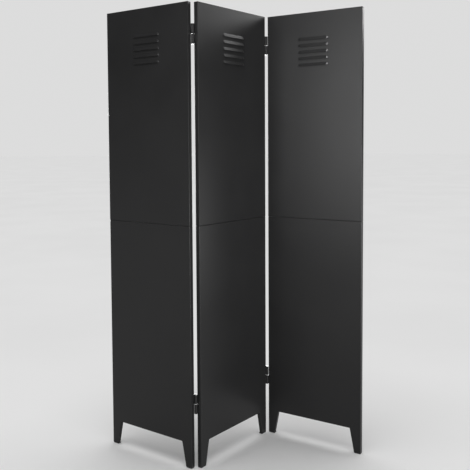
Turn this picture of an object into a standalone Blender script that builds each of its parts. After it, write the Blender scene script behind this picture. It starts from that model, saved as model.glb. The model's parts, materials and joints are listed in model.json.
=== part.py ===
"""Three-panel folding screen in powder-coated sheet steel.

Each panel is a shallow tray made of two folded sheets: an upper one with five pressed louvres
and a lower one that runs down into two tapered legs. The two sheets are bolted together through
the flanges where they meet. Lift-off hinges join the panels: each has two knuckles on flag
leaves, a pin that is fixed in the lower knuckle, and a polished washer that the upper knuckle
turns on.

Metres, +Z up. The origin is on the floor, under the middle of the bounding box. The front of the
screen faces -Y, and the rest pose is a zig-zag: the left and centre panels point their shared
edge forward, the centre and right panels point theirs back.

A panel's own frame has X along the panel from its left edge, Y from its front face to its back,
and Z up from the floor.
"""

import bmesh
import bpy
from math import acos, cos, pi, radians, sin
from mathutils import Matrix, Vector

# Overall size
HEIGHT = 1.700
PANEL_WIDTH = 0.400
PANEL_DEPTH = 0.018
BODY_BOTTOM = 0.094                 # lower edge of the sheet between the legs
SEAM_Z = (HEIGHT + BODY_BOTTOM) / 2  # the two sheets of a panel are equally tall

# How the screen stands: each panel's turn about Z, anticlockwise from above
LEFT_TURN = radians(-34.7)
CENTER_TURN = radians(50.8)
RIGHT_TURN = radians(-31.4)

# Sheet metal
SHEET = 0.0008
BEND_RADIUS = 0.0016
BEND_SEGMENTS = 2
SIDE_LIP = 0.010                    # return lip along the open back
INNER_FLANGE = 0.012                # flange under the body and inside the legs
CLEARANCE = 0.0003                  # between pieces that touch

# Legs
LEG_TOP_WIDTH = 0.045
LEG_FOOT_WIDTH = 0.0275
GLIDE_BASE = 0.004                  # thickness of the plastic glide under the leg
GLIDE_INSET = 0.0006                # from the leg's outline to the glide's
GLIDE_PLUG_TOP = 0.018
GLIDE_PLUG_BACK = 0.015
GLIDE_CORNER = 0.002
GLIDE_EDGE = 0.0008                 # bevel round the lower edge and the plug's tip

# Louvres
LOUVRE_COUNT = 5
LOUVRE_PITCH = 0.025
LOUVRE_TOP_CUT_Z = 1.595            # the slit under the uppermost hood
LOUVRE_LENGTH = 0.128
LOUVRE_RISE = 0.011                 # height of a hood
LOUVRE_DEPTH = 0.0042               # how far a hood stands out
LOUVRE_END = 0.010                  # length over which a hood's end runs out
LOUVRE_OVERLAP = 0.001              # how far its lip hangs below the slit
LOUVRE_CLOSED_END = 0.004           # stretch at each end where hood and sheet stay joined
LOUVRE_ROWS = 4

# Hinges
HINGE_GAP = 0.013                   # between two panels' edges when the screen stands straight
AXIS_OFFSET = 0.001                 # the axis stands this far outside the faces that fold together
TOP_HINGE_Z = 1.5865
BOTTOM_HINGE_Z = 0.2400
KNUCKLE_LENGTH = 0.035
KNUCKLE_RADIUS = 0.006
KNUCKLE_SPACE = 0.0026              # between the knuckles, where the washer lies
KNUCKLE_CAP = 0.003                 # metal left at the blind end of a bore
PIN_RADIUS = 0.0023
PIN_CHAMFER = 0.0006
PIN_END_SPACE = 0.003               # between the pin's tip and the end of the upper bore
WASHER_RADIUS = 0.0052
LEAF_THICKNESS = 0.0022
LEAF_REACH = 0.0165                 # from the axis across the panel's edge
LEAF_SCREW_REACH = 0.0095           # from the axis to the screws
LEAF_SCREW_SPREAD = 0.010           # from the middle of a leaf to each screw

# Fasteners
SEAM_BOLT_X = (0.080, 0.320)
SEAM_BOLT_RADIUS = 0.0025
SEAM_HEX = 0.008                    # across the flats of bolt head and nut
SEAM_HEAD = 0.0035
SEAM_NUT = 0.004
SEAM_THREAD = 0.010                 # bolt length below its head
BOLT_CHAMFER = 0.0005
SCREW_RADIUS = 0.002
SCREW_HEAD_RADIUS = 0.0036
SCREW_HEAD_DEPTH = 0.0016
SCREW_HEAD_EDGE = 0.0002            # height of the head's rim
SCREW_LENGTH = 0.0085               # a thread-forming screw, held by the flange itself

FASTENER_SIDES = 12
KNUCKLE_SIDES = 24
SHARP_ANGLE = radians(30)           # edges that turn less are shaded round
FOLD_ANGLE = radians(40)            # edges that turn more are folds in the sheet
ON_EDGE = 1e-5                      # a point this near an edge lies on it
CUT_PAST = 0.001                    # how far a cutter reaches past the metal
MATERIALS = {}


def material(name, color, roughness, metallic):
    """Return the named Principled material, made once."""
    if name not in MATERIALS:
        made = bpy.data.materials.new(name)
        made.use_nodes = True
        shader = made.node_tree.nodes["Principled BSDF"]
        shader.inputs["Base Color"].default_value = (*color, 1.0)
        shader.inputs["Roughness"].default_value = roughness
        shader.inputs["Metallic"].default_value = metallic
        MATERIALS[name] = made
    return MATERIALS[name]


def powder_coat():
    return material("powder_coat", (0.030, 0.030, 0.031), 0.45, 0.0)


def zinc():
    return material("zinc", (0.55, 0.56, 0.58), 0.35, 1.0)


def black_zinc():
    return material("black_zinc", (0.030, 0.030, 0.032), 0.40, 1.0)


def polished_steel():
    return material("polished_steel", (0.80, 0.80, 0.80), 0.15, 1.0)


def black_plastic():
    return material("black_plastic", (0.020, 0.020, 0.020), 0.55, 0.0)


def clear_scene():
    for existing in list(bpy.data.objects):
        bpy.data.objects.remove(existing, do_unlink=True)


def add_object(name, mesh_builder, finish, frame, smooth=True):
    """Turn a bmesh into a named object in a panel's frame."""
    mesh = bpy.data.meshes.new(name)
    mesh_builder.to_mesh(mesh)
    mesh_builder.free()
    if smooth:
        mesh.shade_smooth()
        mesh.set_sharp_from_angle(angle=SHARP_ANGLE)
    made = bpy.data.objects.new(name, mesh)
    made.data.materials.append(finish)
    made.parent = frame["axis"]
    made.location = frame["corner"]
    bpy.context.collection.objects.link(made)
    return made


def add_cutter(name, mesh_builder, frame):
    cutter = add_object(name, mesh_builder, powder_coat(), frame, smooth=False)
    cutter.hide_render = True
    cutter.display_type = "WIRE"
    return cutter


def cut(target, cutter):
    boolean = target.modifiers.new("holes", "BOOLEAN")
    boolean.operation = "DIFFERENCE"
    boolean.solver = "EXACT"
    boolean.object = cutter


# ---------------------------------------------------------------- loops and solids

def ring(radius, z, sides=FASTENER_SIDES):
    """A circle of points round Z."""
    return [Vector((radius * cos(2 * pi * k / sides), radius * sin(2 * pi * k / sides), z))
            for k in range(sides)]


def hexagon(across_flats, z):
    """A hexagon round Z, with a point at each corner and in the middle of each side."""
    loop = []
    for k in range(12):
        radius = across_flats / 2
        if k % 2:
            radius /= cos(pi / 6)
        loop.append(Vector((radius * cos(pi * k / 6), radius * sin(pi * k / 6), z)))
    return loop


def rounded_rectangle(low, high, radius, z, steps=3):
    """A rectangle from low to high (x, y), with quarter-circle corners."""
    loop = []
    corners = ((high[0], high[1], 0), (low[0], high[1], 1), (low[0], low[1], 2), (high[0], low[1], 3))
    for x, y, quarter in corners:
        center_x = x - radius if x == high[0] else x + radius
        center_y = y - radius if y == high[1] else y + radius
        for step in range(steps + 1):
            angle = (quarter + step / steps) * pi / 2
            loop.append(Vector((center_x + radius * cos(angle), center_y + radius * sin(angle), z)))
    return loop


def skin_loops(builder, loops, place, closed=False):
    """Join loops of equal length into one solid. Its ends are capped unless the loops form a tube
    that closes on itself. The loops run anticlockwise about Z, from the bottom up."""
    rows = [[builder.verts.new(place @ point) for point in loop] for loop in loops]
    count = len(rows[0])
    pairs = list(zip(rows, rows[1:]))
    if closed:
        pairs.append((rows[-1], rows[0]))
    for lower, upper in pairs:
        for k in range(count):
            after = (k + 1) % count
            builder.faces.new((lower[k], lower[after], upper[after], upper[k]))
    if not closed:
        builder.faces.new(list(reversed(rows[0])))
        builder.faces.new(rows[-1])


def pointing_x(x, y, z, direction):
    """A frame at (x, y, z) whose Z axis points along +X or -X."""
    return Matrix.Translation((x, y, z)) @ Matrix.Rotation(direction * pi / 2, 4, "Y")


def add_solid(name, loops, place, finish, frame, closed=False):
    """One object, skinned from loops."""
    builder = bmesh.new()
    skin_loops(builder, loops, place, closed)
    return add_object(name, builder, finish, frame)


# ---------------------------------------------------------------- folded sheets

class SheetSurface:
    """The outer surface of a folded sheet, drawn face by face. Corners in the same place are one
    corner, and the edge between two faces that aren't in one plane can be marked as a bend."""

    def __init__(self):
        self.builder = bmesh.new()
        self.corners = {}

    def corner(self, point):
        key = tuple(round(value, 6) for value in point)
        if key not in self.corners:
            self.corners[key] = self.builder.verts.new(key)
        return self.corners[key]

    def face(self, points):
        self.builder.faces.new(dict.fromkeys(self.corner(point) for point in points))

    def mark_bends(self, is_bend):
        """Give full bevel weight to the folded edges whose two ends both pass is_bend."""
        self.builder.normal_update()
        weights = self.builder.edges.layers.float.new("bevel_weight_edge")
        for edge in self.builder.edges:
            folded = len(edge.link_faces) == 2 and edge.calc_face_angle() > FOLD_ANGLE
            if folded and is_bend(edge.verts[0].co) and is_bend(edge.verts[1].co):
                edge[weights] = 1.0


def add_sheet(name, surface, frame):
    """Round the marked bends of a surface and give it the sheet's thickness, inwards."""
    sheet = add_object(name, surface.builder, powder_coat(), frame)
    bends = sheet.modifiers.new("bends", "BEVEL")
    bends.limit_method = "WEIGHT"
    bends.width = BEND_RADIUS
    bends.segments = BEND_SEGMENTS
    thickness = sheet.modifiers.new("thickness", "SOLIDIFY")
    thickness.thickness = SHEET
    thickness.offset = -1
    thickness.solidify_mode = "NON_MANIFOLD"
    thickness.nonmanifold_thickness_mode = "CONSTRAINTS"
    return sheet


def louvre_columns():
    """Distances from a louvre's left end at which its hood is drawn."""
    half = (0, LOUVRE_CLOSED_END / 2, LOUVRE_CLOSED_END, (LOUVRE_CLOSED_END + LOUVRE_END) / 2,
            LOUVRE_END)
    return half + tuple(LOUVRE_LENGTH - distance for distance in reversed(half))


def hood_depth(along, down):
    """How far a hood stands out at a distance along it, and at a fraction of its height from its
    root (0) to its lip (1)."""
    from_end = min(along, LOUVRE_LENGTH - along, LOUVRE_END)
    end = sin(from_end / LOUVRE_END * pi / 2)
    return LOUVRE_DEPTH * end * (1 - cos(pi * down)) / 2


def louvre_rows(cut_z):
    """Rows of points from the root of a hood to its lip."""
    left = (PANEL_WIDTH - LOUVRE_LENGTH) / 2
    rows = []
    for row in range(LOUVRE_ROWS + 1):
        down = row / LOUVRE_ROWS
        points = []
        for along in louvre_columns():
            overlap = LOUVRE_OVERLAP * hood_depth(along, 1) / LOUVRE_DEPTH
            z = cut_z + LOUVRE_RISE * (1 - down) - overlap * down
            points.append((left + along, -hood_depth(along, down), z))
        rows.append(points)
    return rows


def draw_louvres(surface, low_z, high_z):
    """Draw the front face of an upper sheet with its louvres."""
    columns = louvre_columns()
    last_open = LOUVRE_LENGTH - LOUVRE_CLOSED_END
    above = [(PANEL_WIDTH, 0, high_z), (0, 0, high_z)]
    left_edge, right_edge = [], []
    for index in range(LOUVRE_COUNT):
        cut_z = LOUVRE_TOP_CUT_Z - index * LOUVRE_PITCH
        rows = louvre_rows(cut_z)
        surface.face(above + rows[0])
        for upper, lower in zip(rows, rows[1:]):
            for k in range(len(columns) - 1):
                surface.face((upper[k + 1], upper[k], lower[k], lower[k + 1]))
        lip = rows[-1]
        below = [(x, 0, cut_z) for x, y, z in lip]
        for k in range(len(columns) - 1):
            if columns[k] < LOUVRE_CLOSED_END or columns[k + 1] > last_open:
                surface.face((lip[k + 1], lip[k], below[k], below[k + 1]))
        left_edge += [row[0] for row in rows]
        right_edge += [row[-1] for row in rows]
        above = list(reversed(below))
    surface.face([(0, 0, low_z), (PANEL_WIDTH, 0, low_z)] + above)
    surface.face([(0, 0, high_z), (0, 0, low_z)] + list(reversed(left_edge)))
    surface.face([(PANEL_WIDTH, 0, low_z), (PANEL_WIDTH, 0, high_z)] + right_edge)


def on_outline(point, low):
    """True for a corner on the outline of an upper sheet, which leaves the louvres out."""
    edges = (abs(point.x), abs(point.x - PANEL_WIDTH), abs(point.z - low), abs(point.z - HEIGHT))
    return min(edges) < ON_EDGE


def draw_upper_sheet():
    """The upper sheet: front with louvres, four flanges, and a lip round the back but for the seam."""
    low, high = SEAM_Z + CLEARANCE / 2, HEIGHT
    width, depth, lip = PANEL_WIDTH, PANEL_DEPTH, SIDE_LIP
    surface = SheetSurface()
    draw_louvres(surface, low, high)
    surface.face(((0, 0, low), (0, 0, high), (0, depth, high), (0, depth, low)))
    surface.face(((width, 0, high), (width, 0, low), (width, depth, low), (width, depth, high)))
    surface.face(((0, 0, high), (width, 0, high), (width, depth, high), (0, depth, high)))
    surface.face(((0, 0, low), (0, depth, low), (lip, depth, low), (width - lip, depth, low),
                  (width, depth, low), (width, 0, low)))
    surface.face(((0, depth, low), (0, depth, high), (lip, depth, high - lip), (lip, depth, low)))
    surface.face(((width, depth, high), (width, depth, low), (width - lip, depth, low),
                  (width - lip, depth, high - lip)))
    surface.face(((0, depth, high), (width, depth, high), (width - lip, depth, high - lip),
                  (lip, depth, high - lip)))
    surface.mark_bends(lambda point: on_outline(point, low))
    return surface


def draw_lower_sheet():
    """The lower sheet: front with two legs, and a flange along every edge but the feet."""
    low, body, high = GLIDE_BASE, BODY_BOTTOM, SEAM_Z - CLEARANCE / 2
    width, depth, lip = PANEL_WIDTH, PANEL_DEPTH, SIDE_LIP
    inner = [(LEG_FOOT_WIDTH, low), (LEG_TOP_WIDTH, body), (width - LEG_TOP_WIDTH, body),
             (width - LEG_FOOT_WIDTH, low)]
    surface = SheetSurface()
    outline = [(0, low)] + inner + [(width, low), (width, high), (0, high)]
    surface.face([(x, 0, z) for x, z in outline])
    for (x, z), (next_x, next_z) in zip(inner, inner[1:]):
        surface.face(((next_x, 0, next_z), (x, 0, z), (x, INNER_FLANGE, z),
                      (next_x, INNER_FLANGE, next_z)))
    surface.face(((0, 0, low), (0, 0, high), (0, depth, high), (0, depth, low)))
    surface.face(((width, 0, high), (width, 0, low), (width, depth, low), (width, depth, high)))
    surface.face(((0, 0, high), (width, 0, high), (width, depth, high), (width - lip, depth, high),
                  (lip, depth, high), (0, depth, high)))
    surface.face(((0, depth, low), (0, depth, high), (lip, depth, high), (lip, depth, low)))
    surface.face(((width, depth, high), (width, depth, low), (width - lip, depth, low),
                  (width - lip, depth, high)))
    surface.mark_bends(lambda point: True)
    return surface


# ---------------------------------------------------------------- small pieces

def add_glide(name, frame, mirrored):
    """A plastic glide: a base under the foot and a plug inside the leg."""
    plug_gap = SHEET + 2 * CLEARANCE
    base_low = (GLIDE_INSET, GLIDE_INSET)
    base_high = (LEG_FOOT_WIDTH - GLIDE_INSET, PANEL_DEPTH - GLIDE_INSET)
    plug_low = (plug_gap, plug_gap)
    plug_high = (LEG_FOOT_WIDTH - plug_gap - GLIDE_INSET, GLIDE_PLUG_BACK)
    base_top = GLIDE_BASE - CLEARANCE
    outlines = ((base_low, base_high, GLIDE_EDGE, 0), (base_low, base_high, 0, GLIDE_EDGE),
                (base_low, base_high, 0, base_top), (plug_low, plug_high, 0, base_top),
                (plug_low, plug_high, 0, GLIDE_PLUG_TOP - GLIDE_EDGE),
                (plug_low, plug_high, GLIDE_EDGE, GLIDE_PLUG_TOP))
    loops = []
    for low, high, shrink, z in outlines:
        if mirrored:
            low, high = (PANEL_WIDTH - high[0], low[1]), (PANEL_WIDTH - low[0], high[1])
        loops.append(rounded_rectangle((low[0] + shrink, low[1] + shrink),
                                       (high[0] - shrink, high[1] - shrink), GLIDE_CORNER, z))
    add_solid(name, loops, Matrix.Identity(4), black_plastic(), frame)


def add_seam_fasteners(frame):
    """Bolts with their heads on the upper sheet's flange, and nuts under the lower sheet's."""
    flange = CLEARANCE / 2 + SHEET + CLEARANCE
    bolt = (ring(SEAM_BOLT_RADIUS - BOLT_CHAMFER, -SEAM_THREAD),
            ring(SEAM_BOLT_RADIUS, BOLT_CHAMFER - SEAM_THREAD), ring(SEAM_BOLT_RADIUS, 0),
            hexagon(SEAM_HEX, 0), hexagon(SEAM_HEX, SEAM_HEAD - BOLT_CHAMFER),
            ring(SEAM_HEX / 2 - BOLT_CHAMFER, SEAM_HEAD))
    bore = SEAM_BOLT_RADIUS + CLEARANCE
    nut = (hexagon(SEAM_HEX, 0), hexagon(SEAM_HEX, SEAM_NUT), ring(bore, SEAM_NUT), ring(bore, 0))
    for number, x in enumerate(SEAM_BOLT_X, 1):
        above = Matrix.Translation((x, PANEL_DEPTH / 2, SEAM_Z + flange))
        below = Matrix.Translation((x, PANEL_DEPTH / 2, SEAM_Z - flange - SEAM_NUT))
        add_solid(f"{frame['name']}_seam_bolt_{number}", bolt, above, zinc(), frame)
        add_solid(f"{frame['name']}_seam_nut_{number}", nut, below, zinc(), frame, closed=True)


# ---------------------------------------------------------------- hinges

def knuckle_outline(side, back):
    """The outline of a knuckle and its leaf round the hinge axis. side is -1 where the panel lies
    to the left of the axis and 1 to the right; back is -1 where it lies in front of the axis and 1
    behind it."""
    outer = HINGE_GAP / 2 - CLEARANCE
    inner = outer - LEAF_THICKNESS
    meets_leaf = acos(-inner / KNUCKLE_RADIUS)
    points = [(-outer, -LEAF_REACH), (-outer, 0)]
    for k in range(KNUCKLE_SIDES + 1):
        angle = pi - k / KNUCKLE_SIDES * (pi + meets_leaf)
        points.append((KNUCKLE_RADIUS * cos(angle), KNUCKLE_RADIUS * sin(angle)))
    points.append((-inner, -LEAF_REACH))
    placed = [(-side * x, -back * y) for x, y in points]
    return placed if side * back < 0 else list(reversed(placed))


def add_knuckle(name, frame, hinge, low_z):
    """A knuckle and its leaf, from low_z up."""
    outline = knuckle_outline(hinge["side"], hinge["back"])
    loops = [[Vector((x, y, z)) for x, y in outline] for z in (0, KNUCKLE_LENGTH)]
    return add_solid(name, loops, Matrix.Translation((*hinge["axis"], low_z)), powder_coat(), frame)


def add_pin_and_washer(name, frame, hinge, middle_z):
    """The pin that stands in the lower knuckle, and the washer that lies on that knuckle."""
    place = Matrix.Translation((*hinge["axis"], middle_z))
    reach = KNUCKLE_SPACE / 2 + KNUCKLE_LENGTH - KNUCKLE_CAP
    low, high = CLEARANCE - reach, reach - PIN_END_SPACE
    pin = (ring(PIN_RADIUS, low), ring(PIN_RADIUS, high - PIN_CHAMFER),
           ring(PIN_RADIUS - PIN_CHAMFER, high))
    add_solid(name + "_pin", pin, place, polished_steel(), frame)
    top = KNUCKLE_SPACE / 2 - CLEARANCE
    bore = PIN_RADIUS + CLEARANCE
    washer = (ring(WASHER_RADIUS, -top), ring(WASHER_RADIUS, top), ring(bore, top), ring(bore, -top))
    add_solid(name + "_washer", washer, place, polished_steel(), frame, closed=True)


def screw_places(hinge, upper, middle_z):
    """Frames on the face of a leaf, one for each of its screws, pointing into the panel."""
    x, y = hinge["axis"]
    face = HINGE_GAP / 2 - CLEARANCE - LEAF_THICKNESS
    leaf_z = middle_z + (KNUCKLE_SPACE + KNUCKLE_LENGTH) / 2 * (1 if upper else -1)
    return [pointing_x(x + hinge["side"] * face, y + hinge["back"] * LEAF_SCREW_REACH,
                       leaf_z + spread, hinge["side"])
            for spread in (-LEAF_SCREW_SPREAD, LEAF_SCREW_SPREAD)]


def add_leaf_screws(name, frame, hinge, upper, middle_z):
    """The countersunk screws that hold a leaf to the side flange."""
    screw = (ring(SCREW_HEAD_RADIUS, 0), ring(SCREW_HEAD_RADIUS, SCREW_HEAD_EDGE),
             ring(SCREW_RADIUS, SCREW_HEAD_EDGE + SCREW_HEAD_DEPTH),
             ring(SCREW_RADIUS, SCREW_LENGTH - BOLT_CHAMFER),
             ring(SCREW_RADIUS - BOLT_CHAMFER, SCREW_LENGTH))
    for number, place in enumerate(screw_places(hinge, upper, middle_z), 1):
        add_solid(f"{name}_screw_{number}", screw, place, black_zinc(), frame)


# ---------------------------------------------------------------- panels

def add_holes(frame, hinges):
    """One cutter with a panel's holes: for seam bolts, hinge screws and hinge pins."""
    holes = bmesh.new()
    bolt_hole = SEAM_BOLT_RADIUS + CLEARANCE
    for x in SEAM_BOLT_X:
        skin_loops(holes, (ring(bolt_hole, -SHEET - CUT_PAST), ring(bolt_hole, SHEET + CUT_PAST)),
                   Matrix.Translation((x, PANEL_DEPTH / 2, SEAM_Z)))
    head_hole, shank_hole = SCREW_HEAD_RADIUS + CLEARANCE, SCREW_RADIUS + CLEARANCE
    screw_hole = (ring(head_hole, -CUT_PAST), ring(head_hole, CLEARANCE),
                  ring(shank_hole, SCREW_HEAD_DEPTH + CLEARANCE),
                  ring(shank_hole, LEAF_THICKNESS + CLEARANCE + SHEET + CUT_PAST))
    bore = PIN_RADIUS + CLEARANCE
    inner_end = KNUCKLE_SPACE / 2 - CUT_PAST
    outer_end = KNUCKLE_SPACE / 2 + KNUCKLE_LENGTH - KNUCKLE_CAP
    for hinge, upper in hinges:
        low, high = (inner_end, outer_end) if upper else (-outer_end, -inner_end)
        for middle_z in (TOP_HINGE_Z, BOTTOM_HINGE_Z):
            for place in screw_places(hinge, upper, middle_z):
                skin_loops(holes, screw_hole, place)
            skin_loops(holes, (ring(bore, low), ring(bore, high)),
                       Matrix.Translation((*hinge["axis"], middle_z)))
    return add_cutter(frame["name"] + "_holes", holes, frame)


def add_panel(frame, hinges):
    """One panel with the halves of its hinges. hinges pairs each hinge with True where this panel
    has its upper knuckles, and False where it has the lower knuckles, pins and washers."""
    name = frame["name"]
    holes = add_holes(frame, hinges)
    cut(add_sheet(name + "_upper_sheet", draw_upper_sheet(), frame), holes)
    cut(add_sheet(name + "_lower_sheet", draw_lower_sheet(), frame), holes)
    add_seam_fasteners(frame)
    add_glide(name + "_glide_left", frame, mirrored=False)
    add_glide(name + "_glide_right", frame, mirrored=True)
    for hinge, upper in hinges:
        half = "upper" if upper else "lower"
        below_middle = -KNUCKLE_SPACE / 2 if upper else KNUCKLE_SPACE / 2 + KNUCKLE_LENGTH
        for level, middle_z in (("top", TOP_HINGE_Z), ("bottom", BOTTOM_HINGE_Z)):
            title = f"{hinge['name']}_{level}"
            knuckle = add_knuckle(f"{title}_{half}_knuckle", frame, hinge, middle_z - below_middle)
            cut(knuckle, holes)
            add_leaf_screws(f"{title}_{half}", frame, hinge, upper, middle_z)
            if not upper:
                add_pin_and_washer(title, frame, hinge, middle_z)


def turned(x, y, angle):
    return Vector((x * cos(angle) - y * sin(angle), x * sin(angle) + y * cos(angle), 0))


def panel_frame(name, axis_place, turn, corner):
    """An empty on the panel's hinge axis, and the panel's front left corner in its frame."""
    empty = bpy.data.objects.new(name + "_axis", None)
    empty.location = axis_place
    empty.rotation_euler = (0, 0, turn)
    bpy.context.collection.objects.link(empty)
    return {"name": name, "axis": empty, "corner": (*corner, 0)}


def build():
    clear_scene()
    near = HINGE_GAP / 2                # from a hinge axis to the panel's nearer edge
    far = near + PANEL_WIDTH            # and to its farther edge
    behind = PANEL_DEPTH + AXIS_OFFSET  # from a front face to an axis behind the panel

    # Places from the left hinge axis; then the bounding box's middle becomes the origin
    right_axis = turned(near + far, -behind - AXIS_OFFSET, CENTER_TURN)
    low_x = turned(-far, -behind, LEFT_TURN).x
    high_x = (right_axis + turned(far, behind, RIGHT_TURN)).x
    low_y = turned(-near, -behind, LEFT_TURN).y
    high_y = (right_axis + turned(near, behind, RIGHT_TURN)).y
    middle = Vector(((low_x + high_x) / 2, (low_y + high_y) / 2, 0))

    left = panel_frame("left", -middle, LEFT_TURN, (-far, -behind))
    center = panel_frame("center", -middle, CENTER_TURN, (near, -behind))
    right = panel_frame("right", right_axis - middle, RIGHT_TURN, (near, AXIS_OFFSET))

    # Each hinge as either panel sees it: where its axis is, and on which side of it the panel lies
    add_panel(left, [({"name": "left_hinge", "axis": (far, behind), "side": -1, "back": -1}, True)])
    add_panel(center, [
        ({"name": "left_hinge", "axis": (-near, behind), "side": 1, "back": -1}, False),
        ({"name": "right_hinge", "axis": (far, -AXIS_OFFSET), "side": -1, "back": 1}, True)])
    add_panel(right, [
        ({"name": "right_hinge", "axis": (-near, -AXIS_OFFSET), "side": 1, "back": 1}, False)])


build()
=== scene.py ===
"""Looks of a three-panel folding screen in powder-coated sheet steel.

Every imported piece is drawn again, with round bends, smoothly pressed louvres, threads and drive
recesses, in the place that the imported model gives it, and gets a procedural finish.

Metres, +Z up. A piece is drawn in its panel's own frame: X runs along the panel from its left
edge, Y from its front face to its back, Z up from the floor.
"""

import json
from math import acos, atan2, cos, pi, radians, sin, tan

import bmesh
import bpy
from mathutils import Matrix, Vector


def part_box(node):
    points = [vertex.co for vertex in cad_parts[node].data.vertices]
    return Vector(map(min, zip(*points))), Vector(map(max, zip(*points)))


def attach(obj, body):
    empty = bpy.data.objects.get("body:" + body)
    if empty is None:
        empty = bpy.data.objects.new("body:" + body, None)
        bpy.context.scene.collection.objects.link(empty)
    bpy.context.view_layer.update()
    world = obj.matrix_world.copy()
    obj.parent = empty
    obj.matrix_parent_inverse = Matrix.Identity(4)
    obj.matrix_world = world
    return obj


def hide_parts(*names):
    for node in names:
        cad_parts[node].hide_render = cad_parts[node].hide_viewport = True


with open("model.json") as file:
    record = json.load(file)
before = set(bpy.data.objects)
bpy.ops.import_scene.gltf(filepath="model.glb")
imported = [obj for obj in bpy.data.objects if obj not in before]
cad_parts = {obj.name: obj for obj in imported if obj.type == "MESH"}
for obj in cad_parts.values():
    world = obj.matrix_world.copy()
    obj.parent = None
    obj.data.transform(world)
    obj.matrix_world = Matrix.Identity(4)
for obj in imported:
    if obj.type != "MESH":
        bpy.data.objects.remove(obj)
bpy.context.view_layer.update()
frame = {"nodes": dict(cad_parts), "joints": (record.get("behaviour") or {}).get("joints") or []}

# Sheet metal
SHEET = 0.0008
BEND_RADIUS = 0.0016
BEND_SEGMENTS = 5
SIDE_LIP = 0.010                    # return lip along the open back
INNER_FLANGE = 0.012                # flange under the body and inside the legs
BODY_BOTTOM = 0.094                 # lower edge of the sheet between the legs
LEG_TOP_WIDTH = 0.045
LEG_FOOT_WIDTH = 0.0275
CLEARANCE = 0.0003                  # between pieces that touch

# Louvres
LOUVRE_COUNT = 5
LOUVRE_PITCH = 0.025
LOUVRE_TOP_CUT_Z = 1.595            # slit under the uppermost hood
LOUVRE_LENGTH = 0.128
LOUVRE_RISE = 0.011                 # height of a hood
LOUVRE_DEPTH = 0.0042               # how far a hood stands out
LOUVRE_OVERLAP = 0.001              # how far its lip hangs below the slit
LOUVRE_END = 0.010                  # length over which a hood's end runs out
LOUVRE_CLOSED_END = 0.004           # stretch at each end where hood and sheet stay joined
LOUVRE_CURVE = 0.15                 # share of a hood's height over which it bends out of the sheet
LOUVRE_ROWS = 12
LOUVRE_END_COLUMNS = 15

# Hinges
KNUCKLE_RADIUS = 0.006
LEAF_THICKNESS = 0.0022
LEAF_ROUNDING = 0.0004
KNUCKLE_SIDES = 56
PIN_RADIUS = 0.0023
PIN_CHAMFER = 0.0006
KNUCKLE_CAP = 0.003                 # metal left at the blind end of a bore
PIN_DOME = 0.0003
WASHER_RADIUS = 0.0052
WASHER_ROUNDING = 0.0003
ARC_STEPS = 4

# Fasteners
ROUND_SIDES = 48
THREAD_STEPS = 8                    # rows of points per turn
SEAM_BOLT_RADIUS = 0.0025
SEAM_BOLT_PITCH = 0.0008
SEAM_THREAD = 0.010                 # bolt length below its head
SEAM_THREAD_DEPTH = 0.0004
SEAM_SHANK = 0.0006                 # plain length under the head
SEAM_HEX = 0.008                    # across the flats of bolt head and nut
SEAM_HEAD = 0.0035
SEAM_FACE = 0.0003                  # height of the round face under the head
NUT_THREAD_GAP = 0.00006            # between the nut's thread and the bolt's crests
HEX_CHAMFER = radians(30)
HEX_FACE = 0.95                     # width of a chamfered end, as a share of the flats' distance
HEX_STEPS = 5                       # rings up a chamfer
SCREW_RADIUS = 0.002
SCREW_PITCH = 0.0007
SCREW_THREAD_DEPTH = 0.0004
SCREW_HEAD_RADIUS = 0.0036
SCREW_HEAD_DEPTH = 0.0016
SCREW_HEAD_EDGE = 0.0002            # where the cone under the head starts
SCREW_CROWN = 0.0001                # rounding round the head's face
RECESS_WIDTH = 0.0010
RECESS_REACH = 0.0021
RECESS_DEPTH = 0.0014
RECESS_TAPER = 0.6                  # how much the recess narrows per depth
RECESS_FLOOR = 0.8                  # width of its arms at the bottom, as a share of the top's

# Glides
GLIDE_BASE = 0.0037                 # height of the part under the foot
GLIDE_ROUNDING = 0.0009
GLIDE_CORNER = 0.002
GLIDE_INSET = 0.0006                # from the leg's outline
GLIDE_PLUG_GAP = 0.0014             # from the panel's outer faces to the plug
GLIDE_PLUG_BACK = 0.015
GLIDE_RIBS = 4
GLIDE_RIB = 0.0004
GLIDE_RIB_SHARE = 0.5               # of the ribs' pitch, taken up by the slanted side of a rib

SHARP_ANGLE = radians(30)           # edges that turn less are shaded round
FOLD_ANGLE = radians(40)            # edges that turn more are folds in the sheet
SMALL = 1e-5                        # lengths that differ by less are equal
CORNER_DIGITS = 6                   # corners that agree to this many decimals are one corner
CUT_PAST = 0.001                    # how far a cutter reaches past the metal
SHARPEST_INSET = 0.3                # stops an inset outline running away at a sharp corner
PRISM_EDGE_STEPS = 3
PRISM_CORNER_STEPS = 6

# Photographer's side: the camera from the left hinge's axis, and where its picture is cut
CAMERA_FROM_HINGE = Vector((0.1484, -2.4226, 1.1989))
CAMERA_DOWN = radians(3.10)
CAMERA_ROLL = radians(-0.32)
FOCAL_LENGTH = 51.5                 # on a sensor 36 wide
SENSOR = 36
PICTURE_SHIFT = -0.1196             # of the picture's width

# Studio: each softbox is (name, azimuth and elevation in degrees, watts)
SOFTBOXES = (("right_front", -60, 5, 21), ("right_front_low", -40, -3, 116),
             ("right_low", 5, -6, 11), ("right_back", 30, 32, 25), ("right_high", 15, 38, 12),
             ("front_left", 230, 20, 22), ("front_left_low", 230, 5, 27),
             ("front_high", 260, 55, 112), ("back_left", 135, 5, 90), ("back", 105, 5, 90),
             ("back_right", 78, 5, 70))
LIGHT_SIZE = 1.0
LIGHT_DISTANCE = 3.0
LIGHT_TARGET_Z = 0.85               # half the screen's height
OVERHEAD_POWER = 2.75
OVERHEAD_ANGLE = radians(60)
FLOOR_REACH = 60
BACKDROP = 0.72                     # brightness of the surround that the camera sees
CLIP_END = 200

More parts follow.
